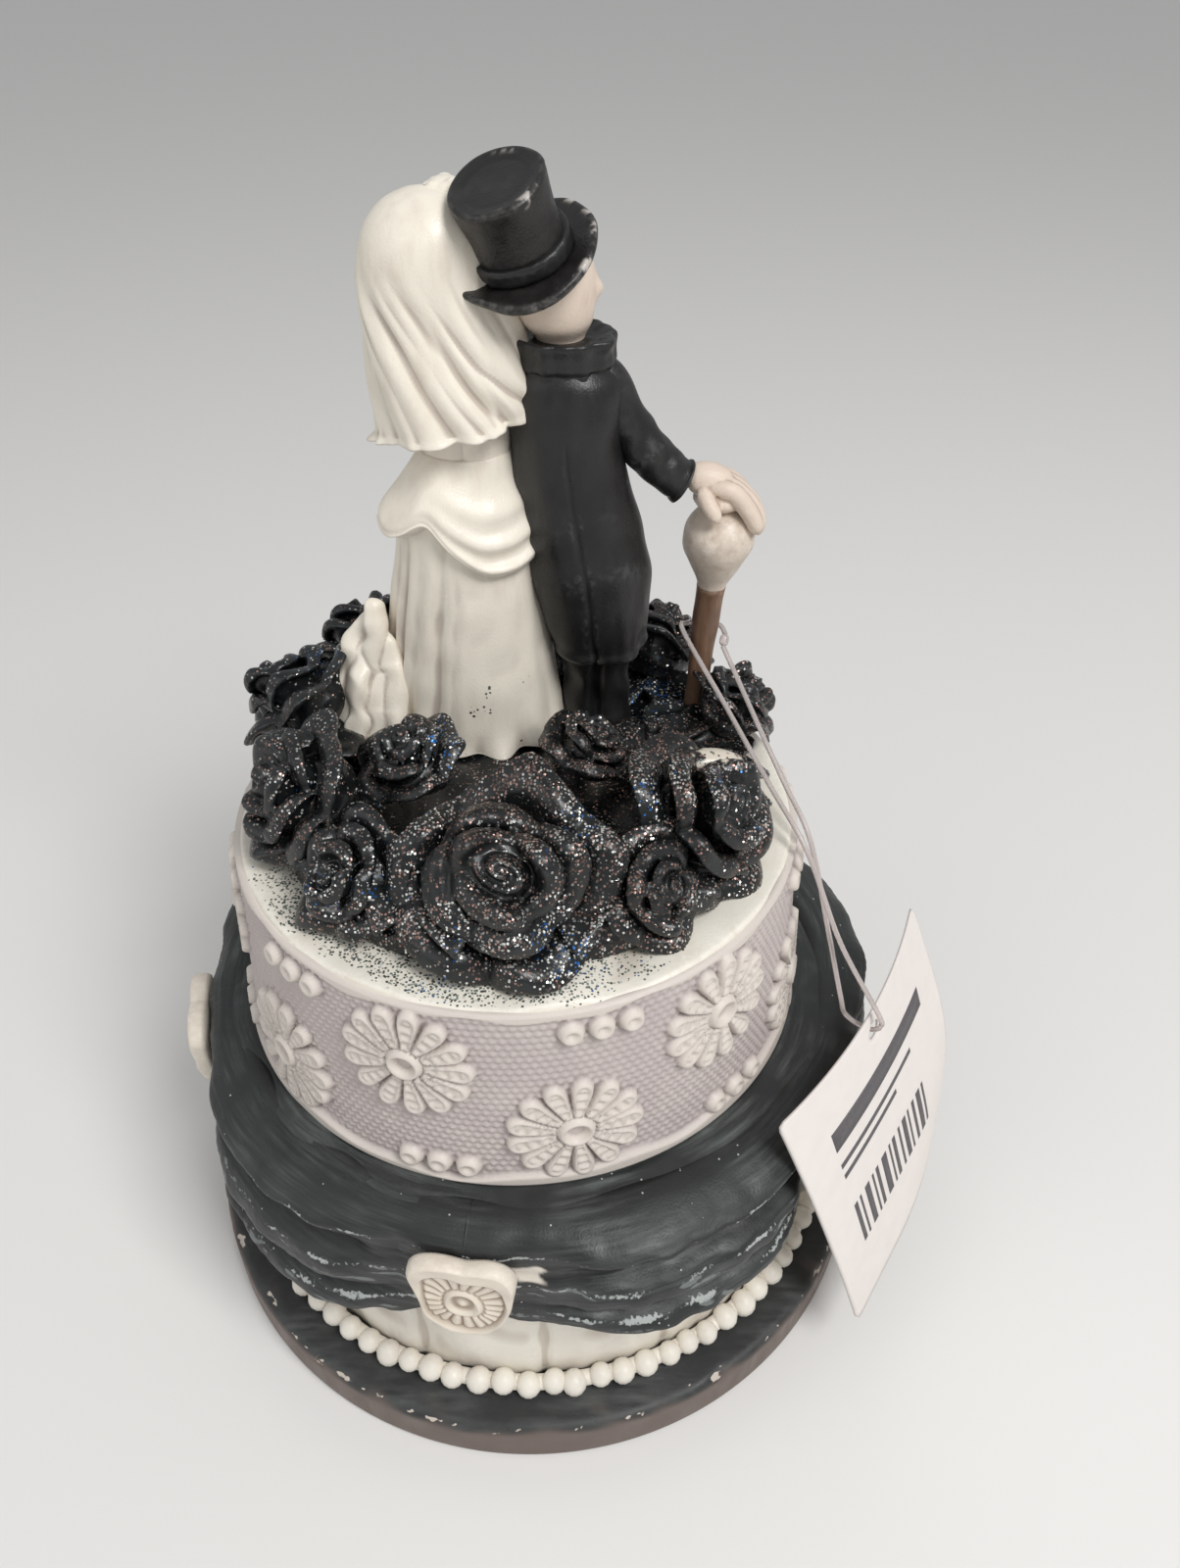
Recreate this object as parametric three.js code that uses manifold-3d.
// A wedding cake ornament of cast and painted resin: two cake tiers on a round board, a wreath of
// roses on top, and a bride and groom standing in it. A card tag hangs from the groom's cane.
// Millimetres, +Z up, origin under the middle of the board. The couple looks towards +Y.
import * as THREE from "three";
import { mergeVertices } from "three/addons/utils/BufferGeometryUtils.js";
import Module from "manifold-3d";

const wasm = await Module();
wasm.setup();
const { Manifold, Mesh } = wasm;
const { degToRad, lerp } = THREE.MathUtils;

// Fits
const GLUE = 0.3; // glue line between neighbouring castings
const ROUND = 60; // facets round a tier

// Board
const BOARD_RADIUS = 55;
const BOARD_HEIGHT = 8;
const BOARD_EDGE = 1; // worn upper edge

// Lower tier, its cover and the pearls round its foot
const LOWER_RADIUS = 47;
const LOWER_HEIGHT = 38;
const COVER_WALL = 2.2;
const COVER_TOP = 3.2;
const COVER_SKIRT = 14; // how far the cover reaches down the tier's wall
const COVER_SHOULDER = 4;
const PEARL = 3.6; // diameter

// Swags round the cover, gathered under the brooches
const SWAG_DROPS = [26, 21.5, 23, 24, 23]; // lowest point of each below the cover's top
const SWAG_FIRST = -80; // azimuth of the first brooch, from -Y towards +X
const SWAG_HEAD = 1.8; // upper edge below the cover's top
const SWAG_ENDS = 17; // lower edge at the brooches, below the cover's top
const SWAG_GATHER = 0.6; // thickness behind a brooch
const SWAG_FULL = 4.2; // thickness halfway
// Rolls and grooves from the upper edge to the lower one: share of the drop, share of the thickness
const SWAG_PROFILE = [
  [0, 0.4], [0.06, 0.72], [0.13, 0.6], [0.3, 0.12], [0.4, 0.8], [0.53, 1], [0.66, 0.75], [0.73, 0.3],
  [0.8, 0.85], [0.9, 1], [1, 0.5],
];
const BROOCH_WIDTH = 14.2;
const BROOCH_HEIGHT = 16.4;
const BROOCH_DROP = 2.2; // upper edge below the cover's top
const BROOCH_DEPTH = 1.9;
const BROOCH_RIM = 1.7;
const BROOCH_RECESS = 0.8;

// Upper tier and its lace band
const UPPER_FOOT_RADIUS = 40.9;
const UPPER_TOP_RADIUS = 38.9;
const UPPER_HEIGHT = 30;
const UPPER_OFFSET = -1.6; // sideways, off the board's axis
const LACE = 1.2; // thickness
const DAISY_WIDTH = 17;
const DAISY_HEIGHT = 18;
const DAISY_RELIEF = 1.2;
const DAISY_PETALS = 13;
const DAISY_PAIRS = 6;
const DAISY_FIRST = -17.6; // azimuth of an upper daisy
const DAISY_UPPER = 20.6; // height above the tier's foot
const DAISY_LOWER = 9.6;
const LIP = 0.9; // foot edge of the lace, beyond the band
const LIP_HEIGHT = 1.6;
const BEAD = 1.9; // radius; beads sit in threes near both edges
const BEAD_RELIEF = 1.3;
const BEAD_PITCH = 3.8;
const BEAD_INSET = 3; // from the edge
const BEAD_SHIFT = 5; // degrees past the nearest daisy

// Roses round the couple: azimuth and distance from the tier's axis, diameter, outward tilt, lift
const BED_HEIGHT = 4.3;
const BED_RADIUS = 33;
const ROSES = [
  [0, 26.5, 26.8, 42, 5],
  [-69, 30, 21, 52, 5.5],
  [62, 28, 24, 46, 4],
  [-107, 33, 19, 42, 7],
  [-136, 34, 19, 40, 7.5],
  [112, 33.5, 15, 44, 4],
  [-66, 14.5, 15, 16, 8],
  [142, 33.5, 18, 40, 6.5],
  [-166, 33, 18, 42, 6],
  [170, 33, 16, 42, 6],
  [80, 10.5, 12.5, 20, 7],
  [-40, 30, 16, 48, 3],
  [37, 30.5, 15, 50, 2],
];

// Bride and groom: each station of a casting is its height above the ground they stand on, the
// centre, the half width, the half depth and the depth of its folds
const SKIRT = [
  [0, -8.5, 14.5, 12.9, 9.8, 0.6],
  [6, -8.6, 14.5, 12.5, 9.4, 0.7],
  [16, -8.5, 14.4, 10.8, 8.4, 0.6],
  [28, -8.3, 14.2, 8.9, 7.2, 0.3],
];
const BUSTLE = [
  [28.6, -8.4, 14.1, 9.4, 7.9, 0.2],
  [31, -8.3, 14.1, 9.6, 8.2, 0.3],
  [36, -8, 14.2, 7.9, 7, 0.3],
  [41.6, -7.5, 14.4, 5.9, 5, 0],
];
const BUSTLE_SLOPE = -0.2; // its hem falls towards the groom
const BODICE = [
  [42.2, -7.5, 14.4, 5.8, 4.9],
  [46, -7.8, 14.7, 6.3, 5.3],
  [50, -8.4, 15, 7, 5.6],
  [52.6, -8.8, 14.8, 6.6, 4.2],
  [54.2, -9, 14.8, 3, 2.6],
];
const BRIDE_HEAD = [
  [54.5, -9.2, 15, 2.1, 2.2],
  [57, -9.4, 15.2, 2.3, 2.5],
  [58.4, -9.5, 15.6, 3.4, 4],
  [61, -9.6, 15.4, 4.7, 5.3],
  [64.4, -9.7, 15.2, 5, 5.5],
  [67.8, -9.7, 15, 4.2, 4.6],
  [69.8, -9.7, 15, 2, 2.2],
];
const VEIL = [
  [44.6, -8.3, 12.3, 9.4, 6.9, 0.5],
  [49, -8.6, 12.3, 9.3, 7, 0.5],
  [56, -9.3, 12.5, 9, 7.1, 0.4],
  [62.5, -10, 13, 8.7, 7.4, 0.3],
  [67, -10, 13.3, 7.7, 6.9, 0.1],
  [69.8, -10, 13.5, 5.6, 5.2, 0],
  [71.4, -10, 13.5, 2.6, 2.4, 0],
];
const VEIL_FRONT = 15.6; // the veil ends at the bride's ears
const TRAIN = [
  [0, -24.4, 11.6, 4.8, 6.4, 0.4],
  [7, -24.8, 11.8, 4.4, 5.4, 0.6],
  [14, -22.8, 12.5, 3, 3.8, 0.4],
  [21.5, -21, 13, 1.8, 2.2, 0],
];
const LEGS = [
  [0, 9.2, 15.6, 5.2, 4.4, 0.5],
  [2.2, 9.3, 15.2, 5.1, 3.9, 0.5],
  [6, 9.3, 14.3, 4.6, 3.2, 0.4],
  [12.5, 9.3, 13.8, 5, 3.8, 0.3],
];
const COAT = [
  [13.1, 9.5, 13.5, 5.9, 5.5],
  [17.5, 9, 13.5, 7.2, 6.6],
  [25.5, 8.2, 13.5, 8.1, 7.2],
  [33.5, 6.8, 13.6, 7.6, 6.6],
  [41.5, 5.7, 13.8, 6.6, 6.2],
  [47.5, 5.5, 14, 7, 6.2],
  [50.6, 5.3, 14, 6.9, 5.8],
  [52.4, 5, 14, 5.6, 5],
];
const COLLAR = [
  [53, 4.9, 14, 6.3, 5.5],
  [55.7, 4.7, 13.9, 6.5, 5.8],
];
const GROOM_HEAD = [
  [55.5, 4.5, 14.2, 3, 3.2],
  [57.4, 4.1, 14.3, 4.3, 4.7],
  [60.2, 3.6, 14.2, 5.1, 5.6],
  [63, 3.4, 13.9, 5.2, 5.6],
  [65, 3, 13.6, 4.6, 5.1],
  [66.6, 2, 13, 2.8, 3.2],
];
const HAIRPIECE = { at: [-8, 14.8, 70.4], radius: 2.4 };

// Shirt front and bow tie
const SHIRT = 1.4; // how far the shirt stands out of the coat
const SHIRT_WIDTH = 6.4;
const SHIRT_LENGTH = 13;
const SHIRT_HEAD = 52.4;
const TIE_WIDTH = 5.4;
const TIE_HEIGHT = 2.6;
const TIE_DEPTH = 1.3;

// Arms and hands: points along each limb, then its radii
const GROOM_RIGHT_ARM = {
  points: [[10, 14, 50], [13.2, 14.2, 44], [16.6, 14.6, 39.8], [20, 15, 36.8]],
  radii: [2.8, 2.9, 2.9, 2.6],
};
const GROOM_RIGHT_HAND = {
  points: [[21, 15.1, 36.2], [23.6, 15.1, 36], [26.6, 15.1, 33.6]],
  radii: [1.8, 2.6, 2],
};
const GROOM_LEFT_ARM = {
  points: [[0.4, 15.5, 50.8], [0.4, 19.4, 43.8], [1.6, 21.6, 42.6], [4.4, 22.6, 42.8]],
  radii: [2.7, 2.4, 2.2, 2],
};
const GROOM_LEFT_HAND = {
  points: [[5, 22.7, 42.9], [6.6, 22.6, 43.2], [8, 22, 43.4]],
  radii: [1.5, 1.9, 1.2],
};
const BRIDE_ARMS = {
  points: [
    [-13.6, 15.4, 51.4], [-14.6, 18.4, 45], [-11.4, 22.2, 41.6],
    [-8.4, 23.2, 41.2], [-5.4, 22.2, 41.8], [-3.6, 18.8, 45], [-3.4, 15.6, 50.6],
  ],
  radii: [1.9, 1.8, 1.5, 1.7, 1.5, 1.7, 1.8],
};
const BOUQUET = { at: [-8.4, 26.2, 42.6], diameter: 10, tilt: 62 };

// Top hat
const HAT = { at: [1, 12.6, 64], back: 23, left: 18 };
const BRIM_RADIUS = 8.7;
const BRIM = 1.2; // thickness
const CROWN_RADIUS = 5.1; // above the brim
const CROWN_FLARE = 0.5; // wider by this at the top
const CROWN_HEIGHT = 9.4;
const BAND = 0.5; // thickness of the hat band
const BAND_HEIGHT = 1.9;

// Cane
const CANE_FOOT = [23.6, 15.2];
const CANE_LEAN = 3.5; // degrees
const CANE_LENGTH = 21.5; // shaft
const CANE_RADIUS = 1.5;
const CANE_TAPER = 0.5; // wider by this at the knob
const KNOB_RADIUS = 4.75;
const KNOB_NECK = 7;

// Card tag: its middle, the way its face looks and how far it is turned in its own plane
const TAG_WIDTH = 41.5;
const TAG_HEIGHT = 48.5;
const TAG_THICKNESS = 0.5;
const TAG_HOLE = 1.5; // radius
const TAG_HOLE_INSET = 2.9; // from the upper edge
const TAG_CURL = 3; // how far the upper corners bend back
const TAG_MIDDLE = [54.1, -22.5, 37.9];
const TAG_AZIMUTH = 53.5;
const TAG_SLOPE = 14.2; // lean of the face towards the sky
const TAG_TURN = 9.5;

// Clear plastic loop of the tag: round the cane, over the upper tier's edge, through the card's
// hole and back to the cane
const LOOP = 0.7; // diameter
const LOOP_STEPS = 78;
const LOOP_ROUTE = [
  [27.4, 14.7, 99], [26.8, 17.1, 99], [24.5, 18.2, 99.2], [22.2, 17.1, 99.3], [21.5, 14.7, 99.3],
  [27.1, 5.4, 93.2], [32.6, -3.9, 87.1], [37.4, -11.9, 81.8], [42.6, -17.1, 70],
  [47.8, -23, 62.5], [48.6, -23, 59.8], [47.8, -22.3, 58.3], [46.3, -21.1, 57.8], [44.3, -20, 58.9],
  [43.3, -19.9, 62.1], [41.4, -14.8, 69.6], [38.1, -9.5, 81.8], [34.8, -2.6, 86.5],
  [30.9, 5.6, 92.1], [27.1, 13.7, 97.6],
];

// Levels
const lowerFoot = BOARD_HEIGHT + GLUE;
const lowerTop = lowerFoot + LOWER_HEIGHT;
const coverTop = lowerTop + GLUE + COVER_TOP;
const upperFoot = coverTop + GLUE;
const upperTop = upperFoot + UPPER_HEIGHT;
const bedFoot = upperTop + GLUE;
const ground = bedFoot + BED_HEIGHT;
const coverRadius = LOWER_RADIUS + GLUE + COVER_WALL;

// A solid from a closed geometry, its doubled points joined and its empty triangles left out.
function solid(geometry) {
  const bare = new THREE.BufferGeometry();
  bare.setAttribute("position", geometry.getAttribute("position"));
  bare.setIndex(geometry.getIndex());
  const merged = mergeVertices(bare, 1e-4);
  const corners = merged.getIndex().array;
  const kept = [];
  for (let i = 0; i < corners.length; i += 3) {
    const [a, b, c] = corners.slice(i, i + 3);
    if (a !== b && b !== c && c !== a) kept.push(a, b, c);
  }
  const vertProperties = Float32Array.from(merged.getAttribute("position").array);
  return new Manifold(new Mesh({ numProp: 3, vertProperties, triVerts: Uint32Array.from(kept) }));
}

// A closed geometry over rings of points. Rings turn anticlockwise seen from the last one.
function skin(rings, endless = false) {
  const count = rings[0].length;
  const points = rings.flat();
  const index = [];
  const last = endless ? rings.length : rings.length - 1;
  for (let k = 0; k < last; k++) {
    for (let i = 0; i < count; i++) {
      const a = k * count + i;
      const b = k * count + ((i + 1) % count);
      const up = (((k + 1) % rings.length) - k) * count;
      index.push(a, b, b + up, a, b + up, a + up);
    }
  }
  if (!endless) {
    const foot = points.push(middle(rings[0])) - 1;
    const head = points.push(middle(rings.at(-1))) - 1;
    const top = (rings.length - 1) * count;
    for (let i = 0; i < count; i++) {
      const j = (i + 1) % count;
      index.push(foot, j, i, head, top + i, top + j);
    }
  }
  const geometry = new THREE.BufferGeometry().setFromPoints(points);
  return geometry.setIndex(index);
}

function middle(ring) {
  const sum = ring.reduce((total, point) => total.add(point), new THREE.Vector3());
  return sum.divideScalar(ring.length);
}

function lathe(profile, segments = ROUND) {
  const points = profile.map(([radius, z]) => new THREE.Vector2(radius, z));
  return new THREE.LatheGeometry(points, segments).rotateX(Math.PI / 2);
}

function polar(azimuth, radius, z) {
  const angle = degToRad(azimuth);
  return new THREE.Vector3(radius * Math.sin(angle), -radius * Math.cos(angle), z);
}

// Oval castings of the figures. The result takes a growth, so that a neighbour can be cut to fit.
function ovals(stations, { sides = 16, folds = 0, slopes = [0, 0] } = {}) {
  const last = stations.length - 1;
  return (grow) => {
    const rings = stations.map(([height, x, y, halfWidth, halfDepth, fold = 0], k) => {
      const end = k === 0 ? -grow : k === last ? grow : 0;
      const slope = lerp(...slopes, k / last);
      return Array.from({ length: sides }, (_, i) => {
        const angle = (i / sides) * 2 * Math.PI;
        const out = grow + fold * Math.cos(folds * angle);
        const dx = (halfWidth + out) * Math.cos(angle);
        const dy = (halfDepth + out) * Math.sin(angle);
        return new THREE.Vector3(x + dx, y + dy, ground + GLUE + height + end + slope * dx);
      });
    });
    return solid(skin(rings));
  };
}

// A round limb that changes in thickness along a smooth curve, grown in the same way.
function limb({ points, radii }, sides = 8, steps = 9) {
  const stations = points.map(([x, y, height]) => new THREE.Vector3(x, y, ground + GLUE + height));
  const curve = new THREE.CatmullRomCurve3(stations);
  const frames = curve.computeFrenetFrames(steps);
  return (grow) => {
    const rings = frames.tangents.map((tangent, k) => {
      const t = (k / steps) * (radii.length - 1);
      const from = Math.min(Math.floor(t), radii.length - 2);
      const radius = grow + lerp(radii[from], radii[from + 1], t - from);
      const end = k === 0 ? -grow : k === steps ? grow : 0;
      const centre = curve.getPoint(k / steps).addScaledVector(tangent, end);
      return Array.from({ length: sides }, (_, i) => {
        const angle = (i / sides) * 2 * Math.PI;
        return centre.clone()
          .addScaledVector(frames.normals[k], radius * Math.cos(angle))
          .addScaledVector(frames.binormals[k], radius * Math.sin(angle));
      });
    });
    return solid(skin(rings));
  };
}

// A rose on its calyx: petals in three tiers about a bud, open towards +Z of its own frame.
function rose(diameter, place) {
  const tiers = [
    [0.2, -1.3, 0], [0.34, -0.42, 0], [0.82, -0.3, 0.5], [1, 0, 0.5], [0.8, 0.2, 0.5],
    [0.66, 0.14, 0], [0.6, 0.36, 0], [0.36, 0.3, 0.5], [0.28, 0.48, 0],
  ];
  const sides = 10;
  return (grow) => {
    const radius = diameter / 2 + grow;
    const rings = tiers.map(([out, up, turn]) => Array.from({ length: sides }, (_, i) => {
      const angle = (i / sides) * 2 * Math.PI;
      const lobe = 1 + 0.08 * Math.cos(5 * angle + turn * 2 * Math.PI);
      const reach = radius * out * lobe;
      return new THREE.Vector3(reach * Math.cos(angle), reach * Math.sin(angle), radius * up);
    }));
    return solid(skin(rings).applyMatrix4(place));
  };
}

// The piece with room for its neighbours cut out of it. Loose offcuts are thrown away.
function fit(piece, neighbours) {
  const rest = neighbours.reduce((body, neighbour) => body.subtract(neighbour(GLUE)), piece(0));
  return rest.decompose().reduce((a, b) => (a.volume() > b.volume() ? a : b));
}

const cake = new THREE.Group();
cake.name = "wedding_cake_topper";

function add(name, body, colour, roughness = 0.5, metalness = 0) {
  const { vertProperties, triVerts } = body.getMesh();
  const geometry = new THREE.BufferGeometry();
  geometry.setAttribute("position", new THREE.BufferAttribute(vertProperties, 3));
  geometry.setIndex(new THREE.BufferAttribute(triVerts, 1));
  const material = new THREE.MeshStandardMaterial({ color: colour, roughness, metalness });
  const mesh = new THREE.Mesh(geometry, material);
  mesh.name = name;
  cake.add(mesh);
}

const CREAM = 0xe9e1d3;
const SLATE = 0x24272b;
const GLOSS_BLACK = 0x0f0f12;
const BONE = 0xdcc9b8;
const WALNUT = 0x6a4632;
const CARD = 0xf1efec;
const CLEAR = 0xd9dde0;

// Board
add("base_board", solid(lathe([
  [0, 0], [BOARD_RADIUS, 0], [BOARD_RADIUS, BOARD_HEIGHT - BOARD_EDGE],
  [BOARD_RADIUS - BOARD_EDGE, BOARD_HEIGHT], [0, BOARD_HEIGHT],
])), SLATE, 0.6);

// Lower tier and cover
add("lower_tier", solid(lathe([
  [0, lowerFoot], [LOWER_RADIUS, lowerFoot], [LOWER_RADIUS, lowerTop], [0, lowerTop],
])), CREAM);
const coverInside = LOWER_RADIUS + GLUE;
const coverFoot = coverTop - COVER_SKIRT;
const shoulder = [0, 30, 60, 90].map(degToRad).map((angle) => [
  coverRadius - COVER_SHOULDER * (1 - Math.cos(angle)),
  coverTop - COVER_SHOULDER * (1 - Math.sin(angle)),
]);
add("fondant_cover", solid(lathe([
  [0, lowerTop + GLUE], [coverInside, lowerTop + GLUE], [coverInside, coverFoot],
  [coverRadius, coverFoot], ...shoulder, [0, coverTop],
])), SLATE, 0.55);

// Pearls
const pearlRing = LOWER_RADIUS + GLUE + PEARL / 2;
const pearlHeight = BOARD_HEIGHT + GLUE + PEARL / 2;
const pearlCount = Math.round((2 * Math.PI * pearlRing) / PEARL);
const beads = Array.from({ length: 2 * pearlCount }, (_, k) => {
  const radius = (PEARL / 2) * (k % 2 ? 0.62 : 1);
  return Array.from({ length: 4 }, (_, i) => {
    const angle = (i / 4) * 2 * Math.PI;
    const reach = pearlRing - radius * Math.cos(angle);
    return polar((k / pearlCount) * 180, reach, pearlHeight + radius * Math.sin(angle));
  });
});
add("pearl_border", solid(skin(beads, true)), CREAM, 0.35);

// Swags and brooches
const swagSpan = 360 / SWAG_DROPS.length;
const swagBack = coverRadius + GLUE;
const broochBack = swagBack + SWAG_GATHER + GLUE;
const swagGap = THREE.MathUtils.radToDeg(GLUE / swagBack);

function swag(azimuth, drop) {
  const steps = 14;
  const rings = Array.from({ length: steps + 1 }, (_, k) => {
    const along = k / steps;
    const sag = Math.sin(Math.PI * along);
    const full = THREE.MathUtils.smoothstep(sag, 0.42, 0.95);
    const thickness = lerp(SWAG_GATHER, SWAG_FULL, full);
    const head = coverTop - SWAG_HEAD;
    const foot = coverTop - lerp(SWAG_ENDS, drop, sag);
    const at = azimuth + swagGap / 2 + along * (swagSpan - swagGap);
    const front = SWAG_PROFILE.map(([down, out]) => (
      polar(at, swagBack + thickness * out, lerp(head, foot, down))
    ));
    return [polar(at, swagBack, foot), polar(at, swagBack, head), ...front];
  });
  return solid(skin(rings));
}

// Heart outline in its own plane, wide shoulders over a blunt point.
function heart(width, height) {
  const shape = new THREE.Shape();
  shape.moveTo(0, -height / 2);
  shape.bezierCurveTo(width * 0.3, -height / 2, width / 2, -height * 0.1, width / 2, height * 0.3);
  shape.bezierCurveTo(width / 2, height * 0.52, width * 0.2, height * 0.52, 0, height * 0.44);
  shape.bezierCurveTo(-width * 0.2, height * 0.52, -width / 2, height * 0.52, -width / 2, height * 0.3);
  shape.bezierCurveTo(-width / 2, -height * 0.1, -width * 0.3, -height / 2, 0, -height / 2);
  return shape;
}

function prism(shape, depth) {
  return solid(new THREE.ExtrudeGeometry(shape, { depth, bevelEnabled: false, curveSegments: 6 }));
}

const broochPlate = prism(heart(BROOCH_WIDTH, BROOCH_HEIGHT), BROOCH_DEPTH);
const broochInside = heart(BROOCH_WIDTH - 2 * BROOCH_RIM, BROOCH_HEIGHT - 2 * BROOCH_RIM);
const broochHollow = prism(broochInside, BROOCH_DEPTH).translate([0, 0, BROOCH_DEPTH - BROOCH_RECESS]);
const brooch = broochPlate.subtract(broochHollow);
const broochHeight = coverTop - BROOCH_DROP - BROOCH_HEIGHT / 2;
SWAG_DROPS.forEach((drop, k) => {
  const azimuth = SWAG_FIRST + k * swagSpan;
  add(`swag_${k + 1}`, swag(azimuth, drop), SLATE, 0.5);
  const place = new THREE.Matrix4().makeRotationZ(degToRad(azimuth))
    .multiply(new THREE.Matrix4().makeTranslation(0, -broochBack, broochHeight))
    .multiply(new THREE.Matrix4().makeRotationX(Math.PI / 2));
  add(`brooch_${k + 1}`, brooch.transform(place.elements), CREAM, 0.45);
});

// Upper tier and lace
function laceRadius(z) {
  return lerp(UPPER_FOOT_RADIUS, UPPER_TOP_RADIUS, (z - upperFoot) / UPPER_HEIGHT);
}

const coreGap = LACE + GLUE;
add("upper_tier", solid(lathe([
  [0, upperFoot], [UPPER_FOOT_RADIUS - coreGap, upperFoot],
  [UPPER_TOP_RADIUS - coreGap, upperTop], [0, upperTop],
])).translate([UPPER_OFFSET, 0, 0]), CREAM);

// Low relief on the lace: rings of points given as outwards, upwards and height over the band.
function relief(azimuth, height, rings) {
  return solid(skin(rings.map((ring) => ring.map(([across, up, over]) => {
    const z = upperFoot + height + up;
    const turn = THREE.MathUtils.radToDeg(across / laceRadius(z));
    return polar(azimuth + turn, laceRadius(z) + over, z);
  }))));
}

function daisy(azimuth, height) {
  const tiers = [[1, -LACE / 2], [0.94, DAISY_RELIEF], [0.3, DAISY_RELIEF]];
  const points = 2 * DAISY_PETALS;
  return relief(azimuth, height, tiers.map(([out, over]) => Array.from({ length: points }, (_, i) => {
    const angle = (i / points) * 2 * Math.PI;
    const reach = out * (i % 2 ? 0.86 : 1) / 2;
    return [reach * DAISY_WIDTH * Math.cos(angle), reach * DAISY_HEIGHT * Math.sin(angle), over];
  })));
}

function beadCluster(azimuth, height) {
  const tiers = [[1, -LACE / 2], [0.75, 0.8 * BEAD_RELIEF], [0.3, BEAD_RELIEF]];
  const sides = 8;
  const bead = (aside) => relief(azimuth, height, tiers.map(([out, over]) => (
    Array.from({ length: sides }, (_, i) => {
      const angle = (i / sides) * 2 * Math.PI;
      return [aside + out * BEAD * Math.cos(angle), out * BEAD * Math.sin(angle), over];
    }))));
  return bead(-BEAD_PITCH).add(bead(0)).add(bead(BEAD_PITCH));
}

let lace = solid(lathe([
  [UPPER_FOOT_RADIUS - LACE, upperFoot], [UPPER_FOOT_RADIUS + LIP, upperFoot],
  [UPPER_FOOT_RADIUS + LIP, upperFoot + LIP_HEIGHT / 2],
  [laceRadius(upperFoot + LIP_HEIGHT), upperFoot + LIP_HEIGHT], [UPPER_TOP_RADIUS, upperTop],
  [UPPER_TOP_RADIUS - LACE, upperTop], [UPPER_FOOT_RADIUS - LACE, upperFoot],
]));
for (let k = 0; k < DAISY_PAIRS; k++) {
  const upper = DAISY_FIRST + (k * 360) / DAISY_PAIRS;
  const lower = upper + 180 / DAISY_PAIRS;
  lace = lace.add(daisy(upper, DAISY_UPPER)).add(daisy(lower, DAISY_LOWER))
    .add(beadCluster(upper + BEAD_SHIFT, BEAD_INSET))
    .add(beadCluster(lower + BEAD_SHIFT, UPPER_HEIGHT - BEAD_INSET));
}
add("lace_band", lace.translate([UPPER_OFFSET, 0, 0]), CREAM, 0.55);

// Figures
const skirt = ovals(SKIRT, { sides: 26, folds: 13, slopes: [0, BUSTLE_SLOPE] });
const bustle = ovals(BUSTLE, { sides: 18, folds: 6, slopes: [BUSTLE_SLOPE, 0] });
const bodice = ovals(BODICE);
const brideHead = ovals(BRIDE_HEAD, { sides: 14 });
const veil = ovals(VEIL, { sides: 22, folds: 11 });
const train = ovals(TRAIN, { sides: 12, folds: 6 });
const legs = ovals(LEGS, { folds: 2 });
const coat = ovals(COAT);
const collar = ovals(COLLAR);
const groomHead = ovals(GROOM_HEAD, { sides: 14 });
const rightArm = limb(GROOM_RIGHT_ARM);
const rightHand = limb(GROOM_RIGHT_HAND);
const leftArm = limb(GROOM_LEFT_ARM);
const leftHand = limb(GROOM_LEFT_HAND, 8, 6);
const brideArms = limb(BRIDE_ARMS, 8, 24);

function standing([x, y, height]) {
  return new THREE.Matrix4().makeTranslation(x, y, ground + GLUE + height);
}

const hairpiece = (grow) => solid(
  new THREE.SphereGeometry(HAIRPIECE.radius + grow, 10, 8).applyMatrix4(standing(HAIRPIECE.at)),
);
const bouquet = rose(BOUQUET.diameter, standing(BOUQUET.at)
  .multiply(new THREE.Matrix4().makeRotationX(-degToRad(BOUQUET.tilt))));

// Cane: knob over shaft, leaning together
const cane = new THREE.Matrix4().makeTranslation(...CANE_FOOT, ground + GLUE)
  .multiply(new THREE.Matrix4().makeRotationY(degToRad(CANE_LEAN)));
const shaft = (grow) => solid(lathe([
  [0, -grow], [CANE_RADIUS + grow, -grow],
  [CANE_RADIUS + CANE_TAPER + grow, CANE_LENGTH + grow], [0, CANE_LENGTH + grow],
], 12).applyMatrix4(cane));
const knobFoot = CANE_LENGTH + GLUE;
const knobMiddle = knobFoot + KNOB_NECK;
const knobNeck = CANE_RADIUS + CANE_TAPER;
const knob = (grow) => solid(lathe([
  [0, knobFoot - grow], [knobNeck + grow, knobFoot - grow],
  [lerp(knobNeck, KNOB_RADIUS, 0.45) + grow, knobFoot + KNOB_NECK * 0.4],
  ...[-35, 0, 35, 65].map(degToRad).map((angle) => [
    (KNOB_RADIUS + grow) * Math.cos(angle), knobMiddle + (KNOB_RADIUS + grow) * Math.sin(angle),
  ]),
  [0, knobMiddle + KNOB_RADIUS + grow],
], 14).applyMatrix4(cane));

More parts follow.
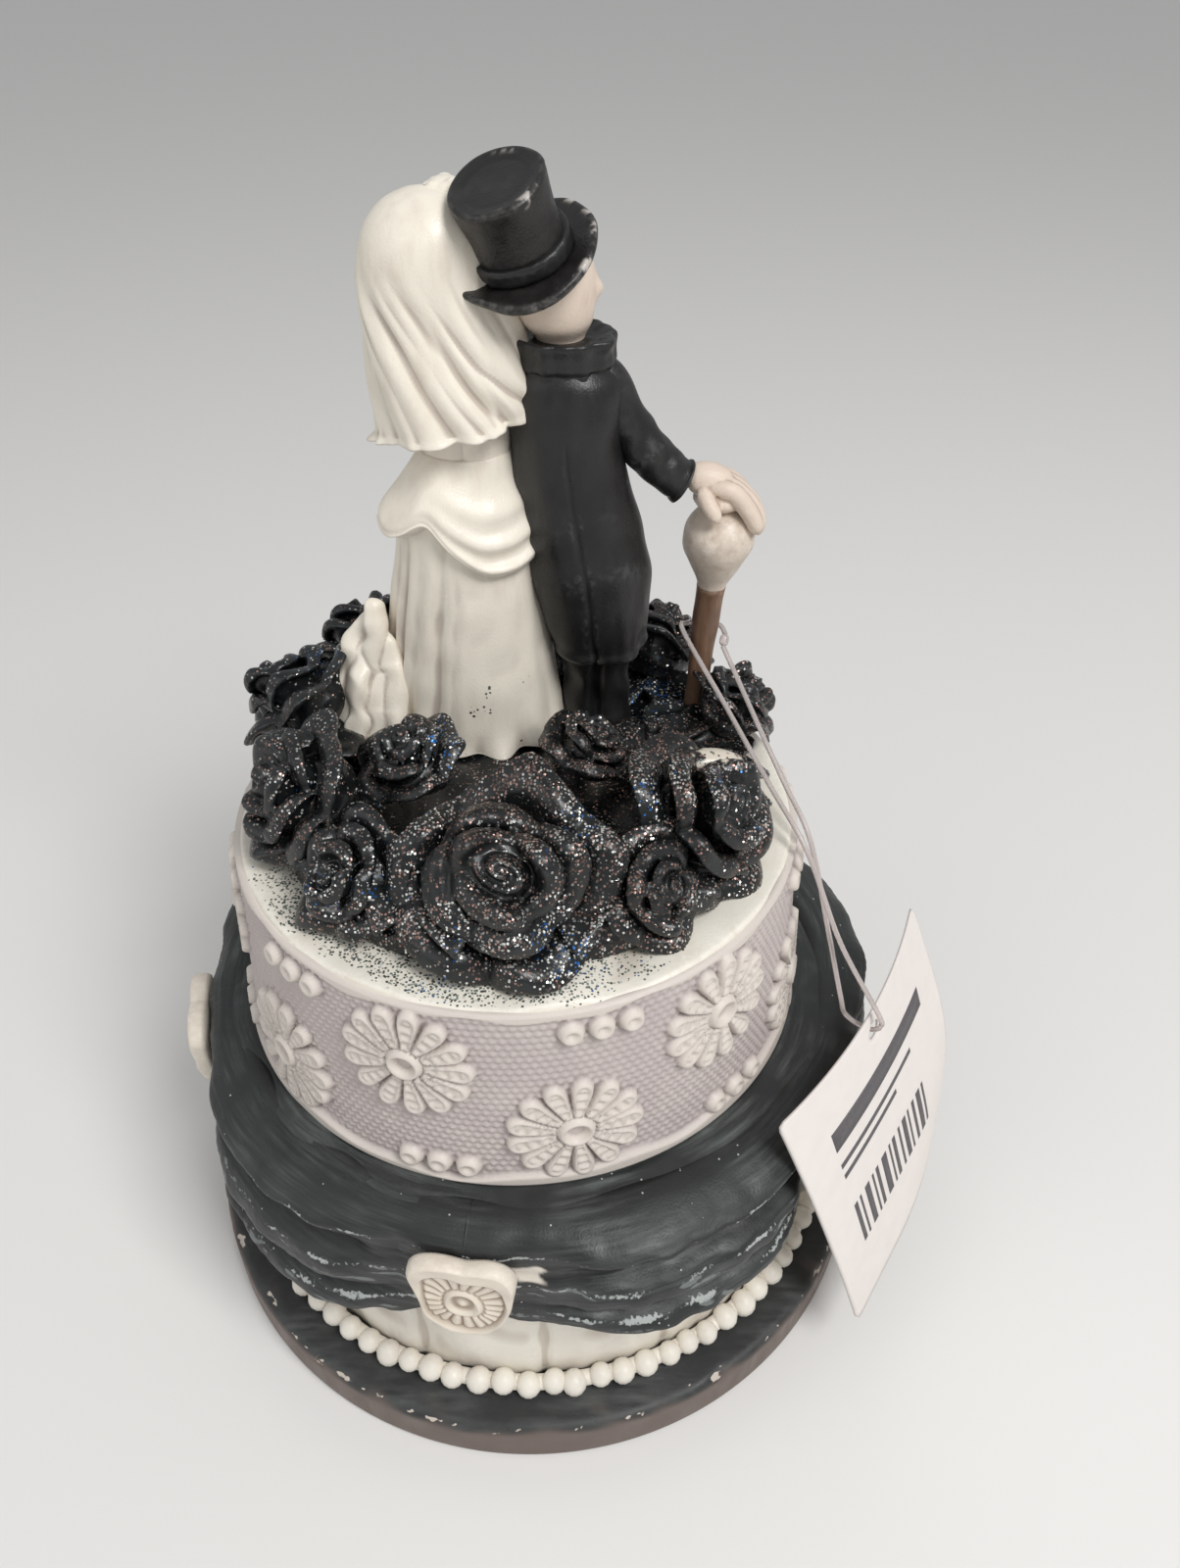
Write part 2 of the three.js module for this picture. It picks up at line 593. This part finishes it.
// Top hat, tipped to the back and to the left
const hatPlace = standing(HAT.at)
  .multiply(new THREE.Matrix4().makeRotationY(-degToRad(HAT.left)))
  .multiply(new THREE.Matrix4().makeRotationX(degToRad(HAT.back)));
const crownTop = BRIM + CROWN_HEIGHT;
const hat = (grow) => solid(lathe([
  [0, -grow], [BRIM_RADIUS - BRIM / 2, -grow], [BRIM_RADIUS + grow, BRIM / 2],
  [BRIM_RADIUS - BRIM / 2, BRIM + grow], [CROWN_RADIUS + grow, BRIM + grow],
  [CROWN_RADIUS + grow, BRIM + CROWN_HEIGHT / 2],
  [CROWN_RADIUS + CROWN_FLARE + grow, crownTop + grow], [0, crownTop + grow],
], 20).applyMatrix4(hatPlace));
const hatOutside = (grow) => hat(grow + GLUE + BAND);
const bandFoot = BRIM + GLUE;
const bandInside = CROWN_RADIUS + GLUE;
add("hat_band", solid(lathe([
  [bandInside, bandFoot], [bandInside + BAND, bandFoot], [bandInside + BAND, bandFoot + BAND_HEIGHT],
  [bandInside, bandFoot + BAND_HEIGHT], [bandInside, bandFoot],
], 20).applyMatrix4(hatPlace)), GLOSS_BLACK, 0.25);

// Shirt front and tie, fitted to the front of the coat
const chest = (grow) => coat(SHIRT + grow);
const shirtX = COAT.at(-1)[1];
const shirtTop = ground + GLUE + SHIRT_HEAD;
const shirtOutline = new THREE.Shape([
  new THREE.Vector2(-SHIRT_WIDTH / 2, 0), new THREE.Vector2(0, -SHIRT_LENGTH),
  new THREE.Vector2(SHIRT_WIDTH / 2, 0),
]);
const tieOutline = new THREE.Shape([
  new THREE.Vector2(-TIE_WIDTH / 2, TIE_HEIGHT / 2), new THREE.Vector2(-TIE_WIDTH / 2, -TIE_HEIGHT / 2),
  new THREE.Vector2(0, -TIE_HEIGHT / 5), new THREE.Vector2(TIE_WIDTH / 2, -TIE_HEIGHT / 2),
  new THREE.Vector2(TIE_WIDTH / 2, TIE_HEIGHT / 2), new THREE.Vector2(0, TIE_HEIGHT / 5),
]);

// A prism that runs from inside the coat out to its front, cut from an outline seen from behind.
function frontPrism(outline, z, from, to) {
  const upright = new THREE.Matrix4().makeTranslation(shirtX, to, z)
    .multiply(new THREE.Matrix4().makeRotationX(Math.PI / 2));
  return prism(outline, to - from).transform(upright.elements);
}

const chestMiddle = COAT.at(-1)[2];
const chestFront = chestMiddle + Math.max(...COAT.map((station) => station[4])) + SHIRT + TIE_DEPTH;
const shirt = frontPrism(shirtOutline, shirtTop, chestMiddle, chestFront)
  .intersect(chest(0)).subtract(coat(GLUE));
const tieFront = coat(SHIRT + GLUE + TIE_DEPTH);
const tie = frontPrism(tieOutline, shirtTop - TIE_HEIGHT / 2, chestMiddle, chestFront)
  .intersect(tieFront).subtract(chest(GLUE));

const veilHeight = VEIL.at(-1)[0];
const beforeEars = solid(new THREE.BoxGeometry(veilHeight, veilHeight, 2 * veilHeight)
  .translate(VEIL[0][1], VEIL_FRONT + veilHeight / 2, ground + veilHeight));
const openVeil = (grow) => veil(grow).subtract(beforeEars);
add("groom_coat", coat(0), GLOSS_BLACK, 0.4);
add("groom_legs", legs(0), GLOSS_BLACK, 0.4);
add("groom_head", fit(groomHead, [hat]), BONE);
add("groom_collar", fit(collar, [groomHead]), GLOSS_BLACK, 0.4);
add("groom_right_arm", fit(rightArm, [coat]), GLOSS_BLACK, 0.4);
add("groom_right_hand", fit(rightHand, [rightArm, knob]), BONE);
add("groom_left_arm", fit(leftArm, [chest]), GLOSS_BLACK, 0.4);
add("groom_left_hand", fit(leftHand, [leftArm, chest]), BONE);
add("groom_shirt", shirt, CREAM);
add("groom_bow_tie", tie, GLOSS_BLACK, 0.3);
add("groom_hat", hat(0), GLOSS_BLACK, 0.3);
add("bride_skirt", fit(skirt, [coat, legs]), CREAM);
add("bride_bustle", fit(bustle, [skirt, coat]), CREAM);
add("bride_bodice", fit(bodice, [coat]), CREAM);
add("bride_arms", fit(brideArms, [bodice, coat, leftArm, bustle]), BONE);
add("bride_bouquet", fit(bouquet, [brideArms, leftArm, leftHand]), GLOSS_BLACK, 0.3);
add("bride_head", fit(brideHead, [hatOutside]), BONE);
add("bride_veil", fit(openVeil, [
  brideHead, bodice, brideArms, coat, collar, groomHead, hatOutside,
]), CREAM);
add("bride_hairpiece", fit(hairpiece, [veil, brideHead, hatOutside]), CREAM);
add("bride_train", fit(train, [skirt]), CREAM);
add("cane_shaft", shaft(0), WALNUT);
add("cane_knob", knob(0), BONE);

// Bed and roses, round the tier's axis
const bed = (grow) => solid(lathe([
  [0, bedFoot - grow], [BED_RADIUS + grow, bedFoot - grow],
  [BED_RADIUS * 0.85 + grow, ground + grow], [0, ground + grow],
], ROUND / 2).translate(UPPER_OFFSET, 0, 0));
add("rose_bed", bed(0), SLATE, 0.45);
const wreath = ROSES.map(([azimuth, distance, diameter, tilt, lift], k) => {
  const centre = polar(azimuth, distance, ground + lift);
  const place = new THREE.Matrix4().makeTranslation(centre.x + UPPER_OFFSET, centre.y, centre.z)
    .multiply(new THREE.Matrix4().makeRotationZ(degToRad(azimuth)))
    .multiply(new THREE.Matrix4().makeRotationX(degToRad(tilt)))
    .multiply(new THREE.Matrix4().makeRotationZ(k));
  return rose(diameter, place);
});
const core = (grow) => solid(lathe([
  [0, upperFoot], [UPPER_FOOT_RADIUS + DAISY_RELIEF + grow, upperFoot],
  [UPPER_TOP_RADIUS + DAISY_RELIEF + grow, upperTop + grow], [0, upperTop + grow],
]).translate(UPPER_OFFSET, 0, 0));
wreath.forEach((flower, k) => {
  const earlier = wreath.slice(0, k);
  const body = fit(flower, [bed, core, skirt, legs, coat, train, shaft, ...earlier]);
  add(`rose_${k + 1}`, body, GLOSS_BLACK, 0.3);
});

// Card tag, its upper corners curled back
const tagPlace = new THREE.Matrix4().makeTranslation(...TAG_MIDDLE)
  .multiply(new THREE.Matrix4().makeRotationZ(degToRad(TAG_AZIMUTH)))
  .multiply(new THREE.Matrix4().makeRotationX(degToRad(90 - TAG_SLOPE)))
  .multiply(new THREE.Matrix4().makeRotationZ(degToRad(TAG_TURN)));
const holeHeight = TAG_HEIGHT / 2 - TAG_HOLE_INSET;
const sheet = new THREE.BoxGeometry(TAG_WIDTH, TAG_HEIGHT, TAG_THICKNESS, 6, 5, 1);
const sheetPoints = sheet.getAttribute("position");
for (let i = 0; i < sheetPoints.count; i++) {
  const across = (2 * sheetPoints.getX(i)) / TAG_WIDTH;
  const up = sheetPoints.getY(i) / TAG_HEIGHT + 0.5;
  sheetPoints.setZ(i, sheetPoints.getZ(i) - TAG_CURL * across ** 2 * up ** 2);
}
const punch = new THREE.CylinderGeometry(TAG_HOLE, TAG_HOLE, 4 * TAG_THICKNESS, 16)
  .rotateX(Math.PI / 2).translate(0, holeHeight, 0);
const tag = solid(sheet).subtract(solid(punch)).transform(tagPlace.elements);
add("hang_tag", tag, CARD, 0.8);

// Loop
const route = LOOP_ROUTE.map((point) => new THREE.Vector3(...point));
const bore = new THREE.Shape();
bore.absarc(0, 0, LOOP / 2, 0, 2 * Math.PI);
add("tag_loop", solid(new THREE.ExtrudeGeometry(bore, {
  steps: LOOP_STEPS, curveSegments: 4, extrudePath: new THREE.CatmullRomCurve3(route),
})), CLEAR, 0.15);

export default cake;
